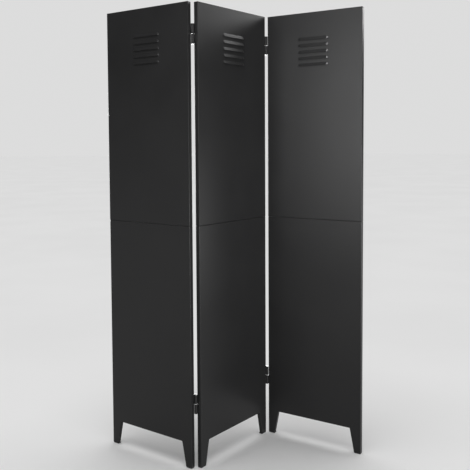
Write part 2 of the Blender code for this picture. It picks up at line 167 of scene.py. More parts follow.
# Finishes. Noise scales are in features per metre, relief and edge radii in metres, and colours
# are linear.
MOST = (0.3, 0.7)                   # stretch of a noise's values that a ramp covers
CORE = (0.35, 0.65)
FLAT, SHARP = 0.98, 0.80            # cosine between the rounded and the true normal
EDGE_SAMPLES = 4

COAT_ROUGHNESS = 0.33
COAT_ROUGHNESS_PATCHES = 0.02
COAT_ROUGHNESS_SPECKS = 0.015
COAT_SPECULAR = 0.20
COAT_DARK = (0.0060, 0.0060, 0.0062)
COAT_LIGHT = (0.0085, 0.0085, 0.0086)
# Colour of the coat's edges and the patches it shows in: partly wear where the coat is thin, partly
# a painted highlight along the edges
COAT_WORN_AND_HIGHLIT_EDGE = (0.030, 0.030, 0.030)
COAT_EDGE_RADIUS = 0.0005
COAT_PEEL_SCALE, COAT_PEEL = 420, 0.00002
COAT_SPECK_SCALE, COAT_SPECK = 1500, 0.000006
COAT_PATCH_SCALE = 5
COAT_PATCH_SHARE = (0, 0.5)         # how much of the lighter coat the patches show
COAT_EDGE_WEAR_AND_HIGHLIGHT_SCALE = 60
COAT_EDGE_WEAR_AND_HIGHLIGHT_SHARE = (0.2, 1)

PLATING_GRAIN_SCALE, PLATING_GRAIN = 2500, 0.00001
ZINC_BLOOM_SCALE = 300
ZINC_ROUGHNESS = (0.28, 0.42)
ZINC_BLUE, ZINC_YELLOW = (0.50, 0.53, 0.58), (0.62, 0.60, 0.54)
ZINC_GRAIN = (0.34, 0.35, 0.37)
ZINC_GRAIN_SPAN, ZINC_GRAIN_SHARE = (0.5, 0.75), (0, 0.35)
BLACK_ZINC_BLOOM_SCALE = 500
BLACK_ZINC_ROUGHNESS = (0.36, 0.48)
BLACK_ZINC_DARK, BLACK_ZINC_LIGHT = (0.022, 0.022, 0.025), (0.036, 0.036, 0.036)
BLACK_ZINC_EDGE = (0.11, 0.11, 0.11)
BLACK_ZINC_EDGE_RADIUS = 0.0002

STEEL_ROUGHNESS = (0.10, 0.18)
STEEL_SMUDGE_ROUGHNESS = 0.05
STEEL_DARK, STEEL_LIGHT = (0.78, 0.78, 0.77), (0.86, 0.86, 0.86)
STEEL_SMUDGE_SCALE, STEEL_SMUDGE_SPAN = 350, (0.4, 0.7)
STEEL_RING_STRETCH = (150, 150, 9000)
STEEL_RINGS = 0.000004

PLASTIC_ROUGHNESS = (0.5, 0.6)
PLASTIC_SPECULAR = 0.35
PLASTIC_DARK, PLASTIC_LIGHT = (0.012, 0.012, 0.012), (0.019, 0.019, 0.020)
PLASTIC_SCUFF = (0.07, 0.07, 0.07)
PLASTIC_SCUFF_SCALE, PLASTIC_SCUFF_SPAN = 700, (0.4, 0.6)
PLASTIC_SCUFF_HEIGHTS = (0.0012, 0.0003)    # no scuffs above the first, all below the second
PLASTIC_GRAIN_SCALE, PLASTIC_GRAIN = 1800, 0.00002

FLOOR_ROUGHNESS = (0.8, 0.9)
FLOOR_SPECULAR = 0.2
FLOOR_DARK, FLOOR_LIGHT = (0.84, 0.84, 0.84), (0.86, 0.86, 0.86)
FLOOR_CLOUD_SCALE = 0.9
FLOOR_GRAIN_SCALE, FLOOR_GRAIN = 300, 0.0001

PANELS = ("left", "center", "right")
HINGES = {"left_hinge": ("left", "center"), "right_hinge": ("center", "right")}
LEVELS = ("top", "bottom")


def middle(box):
    """Halfway between a box's two corners."""
    return (box[0] + box[1]) / 2


class Panel:
    """A panel's own frame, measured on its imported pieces."""

    def __init__(self, name):
        self.name = name
        self.body = name + "_panel"
        left, right = (middle(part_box(f"{name}_glide_{side}")) for side in ("left", "right"))
        along = right - left
        turn = Matrix.Rotation(atan2(along.y, along.x), 4, "Z")
        self.place = Matrix.Translation((left.x, left.y, 0)) @ turn
        corner = self.box(name + "_lower_sheet")[0]
        self.place = self.place @ Matrix.Translation((corner.x, corner.y, 0))
        low, high = self.box(name + "_lower_sheet")
        self.width = high.x
        self.depth = high.y
        self.foot_z = low.z
        self.seam_z = (high.z + self.box(name + "_upper_sheet")[0].z) / 2
        self.top_z = self.box(name + "_upper_sheet")[1].z

    def box(self, node):
        """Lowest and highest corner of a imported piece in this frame."""
        to_panel = self.place.inverted()
        points = [to_panel @ vertex.co for vertex in frame["nodes"][node].data.vertices]
        return tuple(Vector([pick(point[axis] for point in points) for axis in range(3)])
                     for pick in (min, max))


# ---------------------------------------------------------------- meshes and pieces

def mesh_of(name, builder, finish, solid=True):
    """A mesh with its finish. A solid's faces are made to look outwards."""
    mesh = bpy.data.meshes.new(name)
    if solid:
        bmesh.ops.recalc_face_normals(builder, faces=builder.faces)
    builder.to_mesh(mesh)
    builder.free()
    mesh.materials.append(FINISHES[finish])
    return mesh


def with_modifiers(mesh, *modifiers):
    """The mesh with modifiers applied, each given as its type and its settings."""
    holder = bpy.data.objects.new("holder", mesh)
    bpy.context.scene.collection.objects.link(holder)
    for kind, settings in modifiers:
        modifier = holder.modifiers.new(kind, kind)
        for setting, value in settings.items():
            setattr(modifier, setting, value)
    evaluated = holder.evaluated_get(bpy.context.evaluated_depsgraph_get())
    made = bpy.data.meshes.new_from_object(evaluated)
    made.name = mesh.name
    bpy.data.objects.remove(holder)
    return made


def drilled(mesh, holes):
    """The mesh less the solids in a bmesh, which stays as it is."""
    cutter_mesh = bpy.data.meshes.new("cutter")
    holes.to_mesh(cutter_mesh)
    cutter = bpy.data.objects.new("cutter", cutter_mesh)
    bpy.context.scene.collection.objects.link(cutter)
    made = with_modifiers(mesh, ("BOOLEAN", {"operation": "DIFFERENCE", "solver": "EXACT",
                                             "object": cutter}))
    bpy.data.objects.remove(cutter)
    return made


def add_piece(panel, node, mesh, place=Matrix.Identity(4)):
    """Show a mesh in the panel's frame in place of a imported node."""
    mesh.transform(panel.place @ place)
    mesh.shade_smooth()
    mesh.set_sharp_from_angle(angle=SHARP_ANGLE)
    piece = bpy.data.objects.new(node + "_fine", mesh)
    bpy.context.scene.collection.objects.link(piece)
    normals = piece.modifiers.new("flat faces stay flat", "WEIGHTED_NORMAL")
    normals.keep_sharp = True
    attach(piece, panel.body)
    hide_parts(node)
    return piece


def add_solid(panel, node, loops, finish, place=Matrix.Identity(4), closed=False):
    """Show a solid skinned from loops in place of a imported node."""
    mesh = mesh_of(node, skin_loops(bmesh.new(), loops, place, closed), finish)
    add_piece(panel, node, mesh)


def ring(radius, z):
    """A circle of points round Z."""
    angles = [2 * pi * k / ROUND_SIDES for k in range(ROUND_SIDES)]
    return [Vector((radius * cos(angle), radius * sin(angle), z)) for angle in angles]


def arc(radius, start, end, steps):
    """Points (x, y) on an arc round the origin, both ends included."""
    angles = [start + (end - start) * k / steps for k in range(steps + 1)]
    return [(radius * cos(angle), radius * sin(angle)) for angle in angles]


def skin_loops(builder, loops, place=Matrix.Identity(4), closed=False):
    """Join loops of equal length into one solid. Its ends are capped unless the loops form a tube
    that closes on itself."""
    rows = [[builder.verts.new(place @ Vector(point)) for point in loop] for loop in loops]
    count = len(rows[0])
    pairs = list(zip(rows, rows[1:]))
    if closed:
        pairs.append((rows[-1], rows[0]))
    for lower, upper in pairs:
        for k in range(count):
            after = (k + 1) % count
            builder.faces.new((lower[k], lower[after], upper[after], upper[k]))
    if not closed:
        builder.faces.new(list(reversed(rows[0])))
        builder.faces.new(rows[-1])
    return builder


def shrunk(outline, distance):
    """A closed outline of (x, y), run anticlockwise, moved inwards by a distance."""
    moved = []
    neighbours = zip(outline[-1:] + outline[:-1], outline, outline[1:] + outline[:1])
    for before, point, after in neighbours:
        here = Vector(point)
        inward = [Vector((-(b - a).y, (b - a).x)).normalized()
                  for a, b in ((Vector(before), here), (here, Vector(after)))]
        bisector = (inward[0] + inward[1]).normalized()
        spread = max(bisector.dot(inward[0]), SHARPEST_INSET)
        moved.append(tuple(here + bisector * distance / spread))
    return moved


def rounded_prism(outline, low_z, high_z, rounding):
    """Loops up a prism whose lower and upper edges are rounded."""
    angles = [k / PRISM_EDGE_STEPS * pi / 2 for k in range(PRISM_EDGE_STEPS + 1)]
    edge = [(rounding * (1 - sin(angle)), rounding * (1 - cos(angle))) for angle in angles]
    levels = [(inset, low_z + lift) for inset, lift in edge]
    levels += [(inset, high_z - lift) for inset, lift in reversed(edge)]
    return [[(x, y, z) for x, y in shrunk(outline, inset)] for inset, z in levels]


def rounded_rectangle(low, high, radius):
    """An anticlockwise rectangle from low to high (x, y) with quarter-circle corners."""
    outline = []
    for x, y, quarter in ((high[0], high[1], 0), (low[0], high[1], 1), (low[0], low[1], 2),
                          (high[0], low[1], 3)):
        center = (x - radius if x == high[0] else x + radius,
                  y - radius if y == high[1] else y + radius)
        start = quarter * pi / 2
        corner = arc(radius, start, start + pi / 2, PRISM_CORNER_STEPS)
        outline += [(center[0] + x_step, center[1] + y_step) for x_step, y_step in corner]
    return outline


# ---------------------------------------------------------------- folded sheets

class SheetSurface:
    """The outer surface of a folded sheet, drawn face by face. Corners in the same place are one
    corner, and the edge between two faces that aren't in one plane can be marked as a bend."""

    def __init__(self):
        self.builder = bmesh.new()
        self.corners = {}

    def corner(self, point):
        key = tuple(round(value, CORNER_DIGITS) for value in point)
        if key not in self.corners:
            self.corners[key] = self.builder.verts.new(key)
        return self.corners[key]

    def face(self, points):
        self.builder.faces.new(dict.fromkeys(self.corner(point) for point in points))

    def mark_bends(self, is_bend):
        """Give full bevel weight to the folded edges whose two ends both pass is_bend."""
        self.builder.normal_update()
        weights = self.builder.edges.layers.float.new("bevel_weight_edge")
        for edge in self.builder.edges:
            folded = len(edge.link_faces) == 2 and edge.calc_face_angle() > FOLD_ANGLE
            if folded and is_bend(edge.verts[0].co) and is_bend(edge.verts[1].co):
                edge[weights] = 1.0


def louvre_columns():
    """Distances from a louvre's left end at which its hood is drawn."""
    near = [LOUVRE_END * k / LOUVRE_END_COLUMNS for k in range(LOUVRE_END_COLUMNS + 1)]
    return near + [LOUVRE_LENGTH - distance for distance in reversed(near)]


def hood_depth(along, down):
    """How far a hood stands out at a distance along it, and at a fraction of its height from its
    root (0) to its lip (1). It is a ramp that starts in a curve and has quarter-round ends."""
    inward = min(along, LOUVRE_LENGTH - along, LOUVRE_END) / LOUVRE_END
    root = 1 - (1 - (1 - inward) ** 2) ** 0.5
    if down <= root:
        return 0
    below_root = (down - root) / (1 - root)
    if below_root < LOUVRE_CURVE:
        ramp = below_root ** 2 / (2 * LOUVRE_CURVE)
    else:
        ramp = below_root - LOUVRE_CURVE / 2
    return LOUVRE_DEPTH * sin(inward * pi / 2) * ramp / (1 - LOUVRE_CURVE / 2)


def louvre_rows(left, cut_z):
    """Rows of points from the root of a hood to its lip."""
    rows = []
    for row in range(LOUVRE_ROWS + 1):
        down = row / LOUVRE_ROWS
        points = []
        for along in louvre_columns():
            depth = hood_depth(along, down)
            drop = LOUVRE_OVERLAP * hood_depth(along, 1) / LOUVRE_DEPTH * down
            points.append((left + along, -depth, cut_z + LOUVRE_RISE * (1 - down) - drop))
        rows.append(points)
    return rows


def draw_louvres(surface, panel, low_z):
    """Draw the front face of an upper sheet with its louvres."""
    columns = louvre_columns()
    left = (panel.width - LOUVRE_LENGTH) / 2
    last_open = LOUVRE_LENGTH - LOUVRE_CLOSED_END
    above = [(panel.width, 0, panel.top_z), (0, 0, panel.top_z)]
    left_edge, right_edge = [], []
    for index in range(LOUVRE_COUNT):
        cut_z = LOUVRE_TOP_CUT_Z - index * LOUVRE_PITCH
        rows = louvre_rows(left, cut_z)
        surface.face(above + rows[0])
        for upper, lower in zip(rows, rows[1:]):
            for k in range(len(columns) - 1):
                surface.face((upper[k + 1], upper[k], lower[k], lower[k + 1]))
        edge = [(left + along, 0, cut_z) for along in columns]
        lip = rows[-1]
        for k in range(len(columns) - 1):
            if columns[k] < LOUVRE_CLOSED_END - SMALL or columns[k + 1] > last_open + SMALL:
                surface.face((lip[k + 1], lip[k], edge[k], edge[k + 1]))
        left_edge += [row[0] for row in rows]
        right_edge += [row[-1] for row in rows]
        above = list(reversed(edge))
    surface.face([(0, 0, low_z), (panel.width, 0, low_z)] + above)
    surface.face([(0, 0, panel.top_z), (0, 0, low_z)] + list(reversed(left_edge)))
    surface.face([(panel.width, 0, low_z), (panel.width, 0, panel.top_z)] + right_edge)


def draw_upper_sheet(panel, low):
    """The upper sheet: a front with louvres, four flanges, and a lip along the top and sides of
    the open back."""
    high, width, depth, lip = panel.top_z, panel.width, panel.depth, SIDE_LIP
    surface = SheetSurface()
    draw_louvres(surface, panel, low)
    surface.face(((0, 0, low), (0, 0, high), (0, depth, high), (0, depth, low)))
    surface.face(((width, 0, high), (width, 0, low), (width, depth, low), (width, depth, high)))
    surface.face(((0, 0, high), (width, 0, high), (width, depth, high), (0, depth, high)))
    surface.face(((0, 0, low), (0, depth, low), (lip, depth, low), (width - lip, depth, low),
                  (width, depth, low), (width, 0, low)))
    surface.face(((0, depth, low), (0, depth, high), (lip, depth, high - lip), (lip, depth, low)))
    surface.face(((width, depth, high), (width, depth, low), (width - lip, depth, low),
                  (width - lip, depth, high - lip)))
    surface.face(((0, depth, high), (width, depth, high), (width - lip, depth, high - lip),
                  (lip, depth, high - lip)))

    def on_outline(point):
        edges = (abs(point.x), abs(point.x - width), abs(point.z - low), abs(point.z - high))
        return min(edges) < SMALL
    surface.mark_bends(on_outline)
    return surface.builder


def draw_lower_sheet(panel, high):
    """The lower sheet: a front with two legs, a flange along every edge but the feet, and a lip
    along the sides of the open back."""
    low, body, width, depth, lip = panel.foot_z, BODY_BOTTOM, panel.width, panel.depth, SIDE_LIP
    inner = [(LEG_FOOT_WIDTH, low), (LEG_TOP_WIDTH, body), (width - LEG_TOP_WIDTH, body),
             (width - LEG_FOOT_WIDTH, low)]
    surface = SheetSurface()
    outline = [(0, low)] + inner + [(width, low), (width, high), (0, high)]
    surface.face([(x, 0, z) for x, z in outline])
    for (x, z), (next_x, next_z) in zip(inner, inner[1:]):
        surface.face(((next_x, 0, next_z), (x, 0, z), (x, INNER_FLANGE, z),
                      (next_x, INNER_FLANGE, next_z)))
    surface.face(((0, 0, low), (0, 0, high), (0, depth, high), (0, depth, low)))
    surface.face(((width, 0, high), (width, 0, low), (width, depth, low), (width, depth, high)))
    surface.face(((0, 0, high), (width, 0, high), (width, depth, high), (width - lip, depth, high),
                  (lip, depth, high), (0, depth, high)))
    surface.face(((0, depth, low), (0, depth, high), (lip, depth, high), (lip, depth, low)))
    surface.face(((width, depth, high), (width, depth, low), (width - lip, depth, low),
                  (width - lip, depth, high)))
    surface.mark_bends(lambda point: True)
    return surface.builder


def add_sheet(panel, node, builder, holes):
    """Round the bends of a surface, give it the sheet's thickness inwards, and drill it."""
    mesh = with_modifiers(
        mesh_of(node, builder, "powder_coat", solid=False),
        ("BEVEL", {"limit_method": "WEIGHT", "width": BEND_RADIUS, "segments": BEND_SEGMENTS}),
        ("SOLIDIFY", {"thickness": SHEET, "offset": -1, "solidify_mode": "NON_MANIFOLD",
                      "nonmanifold_thickness_mode": "CONSTRAINTS"}))
    add_piece(panel, node, drilled(mesh, holes))


# ---------------------------------------------------------------- threads and fasteners

def threaded(crest, root, pitch, low_z, high_z, inside=False):
    """Rings up a thread that fades out at both ends. A bolt's thread fades towards its root, and
    a nut's (inside) towards its crest, which is its wider radius."""
    count = round((high_z - low_z) / pitch * THREAD_STEPS)
    rings = []
    for step in range(count + 1):
        z = low_z + (high_z - low_z) * step / count
        fade = min((z - low_z) / pitch, (high_z - z) / pitch, 1)
        loop = []
        for side in range(ROUND_SIDES):
            turn = side / ROUND_SIDES
            phase = (z / pitch - turn) % 1
            height = fade * (1 - abs(2 * phase - 1))
            radius = crest - (crest - root) * (height if inside else 1 - height)
            loop.append((radius * cos(2 * pi * turn), radius * sin(2 * pi * turn), z))
        rings.append(loop)
    return rings


def hex_ring(across_flats, cone_radius, z):
    """A hexagon round Z cut back to a circle, as a chamfering cone cuts it."""
    loop = []
    for side in range(ROUND_SIDES):
        angle = 2 * pi * side / ROUND_SIDES
        from_flat = (angle + pi / 6) % (pi / 3) - pi / 6
        radius = min(across_flats / 2 / cos(from_flat), cone_radius)
        loop.append((radius * cos(angle), radius * sin(angle), z))
    return loop


def hex_chamfer(across_flats, top_z, outwards):
    """Rings from where the chamfer starts on the corners to the flat end at top_z. outwards is 1
    for the upper end and -1 for the lower one."""
    corner = across_flats / 2 / cos(pi / 6)
    flat_end = across_flats / 2 * HEX_FACE
    height = (corner - flat_end) * tan(HEX_CHAMFER)
    rings = []
    for step in range(HEX_STEPS + 1):
        down = height * (1 - step / HEX_STEPS)
        rings.append(hex_ring(across_flats, flat_end + down / tan(HEX_CHAMFER),
                              top_z - outwards * down))
    return rings


def bolt_mesh():
    """A hexagon bolt along Z, its head from 0 up and its thread down."""
    end = -SEAM_THREAD
    loops = [ring(SEAM_BOLT_RADIUS - 2 * SEAM_THREAD_DEPTH, end)]
    loops += threaded(SEAM_BOLT_RADIUS, SEAM_BOLT_RADIUS - SEAM_THREAD_DEPTH, SEAM_BOLT_PITCH,
                      end + SEAM_THREAD_DEPTH, -SEAM_SHANK)
    loops.append(ring(SEAM_BOLT_RADIUS, -SEAM_SHANK + SEAM_THREAD_DEPTH))
    loops.append(ring(SEAM_BOLT_RADIUS, 0))
    loops.append(hex_ring(SEAM_HEX, SEAM_HEX * HEX_FACE / 2, 0))
    loops.append(hex_ring(SEAM_HEX, SEAM_HEX * HEX_FACE / 2, SEAM_FACE))
    loops.append(hex_ring(SEAM_HEX, SEAM_HEX, SEAM_FACE))
    loops += hex_chamfer(SEAM_HEX, SEAM_HEAD, 1)
    return mesh_of("seam_bolt", skin_loops(bmesh.new(), loops), "zinc")


def nut_mesh(height):
    """A hexagon nut along Z, from 0 up."""
    bore = SEAM_BOLT_RADIUS + CLEARANCE
    loops = list(reversed(hex_chamfer(SEAM_HEX, 0, -1))) + hex_chamfer(SEAM_HEX, height, 1)
    inner = threaded(bore, SEAM_BOLT_RADIUS + NUT_THREAD_GAP, SEAM_BOLT_PITCH, CLEARANCE,
                     height - CLEARANCE, inside=True)
    flared = bore + CLEARANCE
    loops.append(ring(flared, height))
    loops += list(reversed(inner))
    loops.append(ring(flared, 0))
    return mesh_of("seam_nut", skin_loops(bmesh.new(), loops, closed=True), "zinc")


def screw_mesh(length):
    """A countersunk screw with a cross recess, its head's face at 0 and its tip at length on Z."""
    neck = SCREW_HEAD_EDGE + SCREW_HEAD_DEPTH
    crown = SCREW_HEAD_RADIUS - SCREW_CROWN
    loops = [ring(crown, 0), ring(SCREW_HEAD_RADIUS, SCREW_CROWN),
             ring(SCREW_HEAD_RADIUS, SCREW_HEAD_EDGE), ring(SCREW_RADIUS, neck)]
    loops += threaded(SCREW_RADIUS, SCREW_RADIUS - SCREW_THREAD_DEPTH, SCREW_PITCH,
                      neck + SCREW_THREAD_DEPTH, length - SCREW_THREAD_DEPTH)
    loops.append(ring(SCREW_RADIUS - 2 * SCREW_THREAD_DEPTH, length))
    mesh = mesh_of("screw", skin_loops(bmesh.new(), loops), "black_zinc")
    recess = bmesh.new()
    mouth, floor = (RECESS_REACH - depth * RECESS_TAPER for depth in (-CUT_PAST, RECESS_DEPTH))
    skin_loops(recess, [cross_loop(mouth, RECESS_WIDTH, -CUT_PAST),
                        cross_loop(floor, RECESS_WIDTH * RECESS_FLOOR, RECESS_DEPTH)])
    mesh = drilled(mesh, recess)
    recess.free()
    return mesh


def cross_loop(reach, width, z):
    """The outline of a cross round Z."""
    half = width / 2
    quarter = [(reach, -half), (reach, half), (half, half)]
    loop = []
    for turns in range(4):
        spin = Matrix.Rotation(turns * pi / 2, 3, "Z")
        loop += [spin @ Vector((x, y, z)) for x, y in quarter]
    return loop


def pointing_x(x, y, z, direction):
    """A frame at (x, y, z) whose Z axis points along +X or -X."""
    return Matrix.Translation((x, y, z)) @ Matrix.Rotation(direction * pi / 2, 4, "Y")


def add_seam_fasteners(panel, bolt, nut):
    """The bolts and nuts through the flanges at the seam."""
    for number in (1, 2):
        name = f"{panel.name}_seam_bolt_{number}"
        low, high = panel.box(name)
        x, y = middle((low, high)).xy
        add_piece(panel, name, bolt.copy(),
                  Matrix.Translation((x, y, high.z - SEAM_HEAD)) @ Matrix.Rotation(number, 4, "Z"))
        name = f"{panel.name}_seam_nut_{number}"
        low, high = panel.box(name)
        add_piece(panel, name, nut.copy(), Matrix.Translation((x, y, low.z)))


# ---------------------------------------------------------------- glides

def add_glide(panel, side):
    """A plastic glide: a rounded base under the foot and a ribbed plug inside the leg."""
    name = f"{panel.name}_glide_{side}"
    low, high = panel.box(name)
    plug_low = [GLIDE_PLUG_GAP, GLIDE_PLUG_GAP]
    plug_high = [LEG_FOOT_WIDTH - GLIDE_PLUG_GAP - GLIDE_INSET, GLIDE_PLUG_BACK]
    if side == "right":
        plug_low[0], plug_high[0] = panel.width - plug_high[0], panel.width - plug_low[0]
    base = rounded_rectangle(low, high, GLIDE_CORNER)
    plug = rounded_rectangle(plug_low, plug_high, GLIDE_CORNER)
    loops = rounded_prism(base, 0, GLIDE_BASE, GLIDE_ROUNDING)
    pitch = (high.z - GLIDE_BASE) / (GLIDE_RIBS + 1)
    neck = [(x, y, GLIDE_BASE) for x, y in plug]
    loops.append(neck)
    for rib in range(GLIDE_RIBS):
        start = GLIDE_BASE + pitch * (rib + GLIDE_RIB_SHARE)
        loops.append([(x, y, start) for x, y in plug])
        loops.append([(x, y, start) for x, y in shrunk(plug, -GLIDE_RIB)])
        loops.append([(x, y, start + pitch * GLIDE_RIB_SHARE) for x, y in plug])
    loops.append([(x, y, high.z - GLIDE_ROUNDING) for x, y in plug])
    loops.append([(x, y, high.z) for x, y in shrunk(plug, GLIDE_ROUNDING)])
    add_solid(panel, name, loops, "black_plastic")


# ---------------------------------------------------------------- hinges

def joint_axis(side):
    """A point on the axis of the left or right fold."""
    name = side + "_fold"
    return Vector(next(joint["pos_m"] for joint in frame["joints"] if joint["name"] == name))


class Hinge:
    """One hinge as a panel sees it: its axis, and on which side of the axis the panel lies."""

    def __init__(self, panel, name, half):
        self.name = name
        self.half = half
        axis = panel.place.inverted() @ joint_axis(name.removesuffix("_hinge"))
        self.x, self.y = axis.x, axis.y
        self.side = 1 if axis.x < 0 else -1     # 1 where the panel lies to the right of the axis
        self.back = -1 if axis.y > 0 else 1     # 1 where it lies behind the axis
        leaf = panel.box(f"{name}_top_{half}_knuckle")
        edges = sorted(abs(corner.x - axis.x) for corner in leaf)
        self.outer = edges[1]
        self.reach = max(abs(corner.y - axis.y) for corner in leaf)

    def outline(self):
        """The outline of a knuckle and its leaf round the axis, anticlockwise."""
        inner = self.outer - LEAF_THICKNESS
        meets_leaf = acos(-inner / KNUCKLE_RADIUS)
        r = LEAF_ROUNDING
        points = [(-self.outer + r + x, -self.reach + r + y)
                  for x, y in arc(r, -pi / 2, -pi, ARC_STEPS)]
        points += [(-self.outer + r + x, -r + y) for x, y in arc(r, pi, pi / 2, ARC_STEPS)]
        points += arc(KNUCKLE_RADIUS, pi, -meets_leaf, KNUCKLE_SIDES)
        points += [(-inner - r + x, -self.reach + r + y)
                   for x, y in arc(r, 0, -pi / 2, ARC_STEPS)]
        placed = [(-self.side * x, -self.back * y) for x, y in points]
        return placed if self.side * self.back < 0 else placed[::-1]


def bore_span(hinge, low, high):
    """Where the bore for the pin starts and ends in a knuckle between low and high."""
    if hinge.half == "upper":
        return low - CUT_PAST, high - KNUCKLE_CAP
    return low + KNUCKLE_CAP, high + CUT_PAST


def screw_place(panel, hinge, node):
    """The frame on the face of a screw's head, pointing into the panel."""
    low, high = panel.box(node)
    x = low.x if hinge.side > 0 else high.x
    y, z = middle((low, high)).yz
    return pointing_x(x, y, z, hinge.side)


def panel_holes(panel, hinges):
    """Cutters for the seam bolts, the hinge screws and the hinge pins of a panel."""
    holes = bmesh.new()
    bolt_hole = SEAM_BOLT_RADIUS + CLEARANCE
    reach = SHEET + CUT_PAST
    for number in (1, 2):
        x, y = middle(panel.box(f"{panel.name}_seam_bolt_{number}")).xy
        skin_loops(holes, (ring(bolt_hole, -reach), ring(bolt_hole, reach)),
                   Matrix.Translation((x, y, panel.seam_z)))
    head_hole, shank_hole = SCREW_HEAD_RADIUS + CLEARANCE, SCREW_RADIUS + CLEARANCE
    screw_hole = (ring(head_hole, -CUT_PAST), ring(head_hole, CLEARANCE),
                  ring(shank_hole, SCREW_HEAD_DEPTH + CLEARANCE),
                  ring(shank_hole, LEAF_THICKNESS + CLEARANCE + SHEET + CUT_PAST))
    bore = PIN_RADIUS + CLEARANCE
    for hinge in hinges:
        for level in LEVELS:
            knuckle = f"{hinge.name}_{level}_{hinge.half}"
            for number in (1, 2):
                place = screw_place(panel, hinge, f"{knuckle}_screw_{number}")
                skin_loops(holes, screw_hole, place)
            low, high = (corner.z for corner in panel.box(knuckle + "_knuckle"))
            low, high = bore_span(hinge, low, high)
            skin_loops(holes, (ring(bore, low), ring(bore, high)),
                       Matrix.Translation((hinge.x, hinge.y, 0)))
    bmesh.ops.recalc_face_normals(holes, faces=holes.faces)
    return holes


def rounded_disc(outer, inner, low_z, high_z, rounding):
    """Loops round a washer with rounded edges, for a tube that closes on itself."""
    middle_z, half = (low_z + high_z) / 2, (high_z - low_z) / 2
    profile = [(outer - rounding + x, half - rounding + y)
               for x, y in arc(rounding, 0, pi / 2, ARC_STEPS)]
    profile += [(inner + rounding + x, half - rounding + y)
                for x, y in arc(rounding, pi / 2, pi, ARC_STEPS)]
    profile += [(radius, -height) for radius, height in reversed(profile)]
    return [ring(radius, middle_z + height) for radius, height in profile]


def add_pin_and_washer(panel, title, hinge):
    """The pin, with a chamfered and slightly domed tip, and the washer that it goes through."""
    low, high = (corner.z for corner in panel.box(title + "_pin"))
    axis = Matrix.Translation((hinge.x, hinge.y, 0))
    loops = [ring(PIN_RADIUS - PIN_CHAMFER / 2, low), ring(PIN_RADIUS, low + PIN_CHAMFER / 2),
             ring(PIN_RADIUS, high - PIN_CHAMFER - PIN_DOME),
             ring(PIN_RADIUS - PIN_CHAMFER, high - PIN_DOME)]
    for step in range(1, ARC_STEPS + 1):
        angle = step / (ARC_STEPS + 1) * pi / 2
        dome = ring((PIN_RADIUS - PIN_CHAMFER) * cos(angle), high - PIN_DOME * (1 - sin(angle)))
        loops.append(dome)
    add_solid(panel, title + "_pin", loops, "polished_steel", axis)
    low, high = (corner.z for corner in panel.box(title + "_washer"))
    loops = rounded_disc(WASHER_RADIUS, PIN_RADIUS + CLEARANCE, low, high, WASHER_ROUNDING)
    add_solid(panel, title + "_washer", loops, "polished_steel", axis, closed=True)


def add_hinge(panel, hinge, holes, screw):
    """A panel's knuckles of one hinge, with their screws, and the pins where they stand in them."""
    for level in LEVELS:
        title = f"{hinge.name}_{level}"
        node = f"{title}_{hinge.half}_knuckle"
        low, high = (corner.z for corner in panel.box(node))
        loops = rounded_prism(hinge.outline(), low, high, LEAF_ROUNDING)
        axis = Matrix.Translation((hinge.x, hinge.y, 0))
        knuckle = mesh_of(node, skin_loops(bmesh.new(), loops, axis), "powder_coat")
        add_piece(panel, node, drilled(knuckle, holes))
        for number in (1, 2):
            name = f"{title}_{hinge.half}_screw_{number}"
            add_piece(panel, name, screw.copy(),
                      screw_place(panel, hinge, name) @ Matrix.Rotation(number + low, 4, "Z"))
        if hinge.half == "lower":
            add_pin_and_washer(panel, title, hinge)


# ---------------------------------------------------------------- finishes

